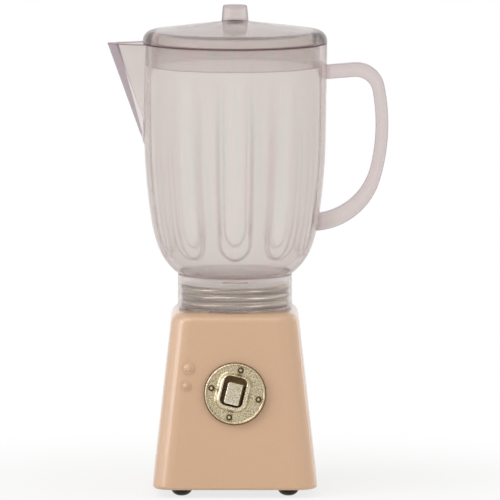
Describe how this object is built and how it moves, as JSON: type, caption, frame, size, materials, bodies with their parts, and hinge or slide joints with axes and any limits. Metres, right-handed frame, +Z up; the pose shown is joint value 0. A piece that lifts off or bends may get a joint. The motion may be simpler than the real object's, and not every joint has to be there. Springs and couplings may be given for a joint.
{
  "type": "toy blender",
  "caption": "Toy blender: square tapering enamelled base with a turning round dial, domed feet and ribbed collar, and a clear fluted jug with beak spout, loop handle and lift-off lid.",
  "frame": {"origin": "on the upright axis through the base, collar, jug and knob, in the plane that the four feet stand on", "axes": "+Z up; -Y out of the front, which carries the dial; -X towards the spout; +X towards the handle"},
  "size_m": [0.0519, 0.034, 0.09],
  "materials": {
    "enamel": "satin enamel, peach",
    "dark_steel": "dark paint",
    "dark_bronze": "dark antiqued",
    "nickel": "nickel plated",
    "antique_metal": "antiqued silver plate",
    "clear_plastic": "clear, faint warm grey"
  },
  "bodies": {
    "base": {"base_housing": "enamel", "base_plate": "dark_steel", "foot_front_left": "dark_bronze", "foot_front_right": "dark_bronze", "foot_rear_left": "dark_bronze", "foot_rear_right": "dark_bronze", "jug_collar": "nickel", "collar_screw": "nickel", "collar_washer": "nickel", "collar_nut": "nickel", "indicator_stud_upper": "enamel", "indicator_stud_lower": "enamel", "stud_retainers": "nickel"},
    "dial": {"dial_plate": "antique_metal", "dial_rivets": "antique_metal", "dial_grip": "antique_metal", "dial_spring_washer": "nickel", "dial_retainer": "nickel"},
    "jug": {"jug": "clear_plastic", "jug_handle": "clear_plastic"},
    "lid": {"lid": "clear_plastic", "lid_knob": "clear_plastic"}
  },
  "joints": [
    {"name": "dial_turn", "type": "hinge", "parent": "base", "child": "dial", "pos_m": [0, -0.01323, 0.0192], "axis": [0, -0.9938, 0.1108], "continuous": true},
    {"name": "jug_lift", "type": "slide", "parent": "base", "child": "jug", "axis": [0, 0, 1], "range_m": [0, 0.02]},
    {"name": "lid_lift", "type": "slide", "parent": "jug", "child": "lid", "axis": [0, 0, 1], "range_m": [0, 0.025]}
  ]
}
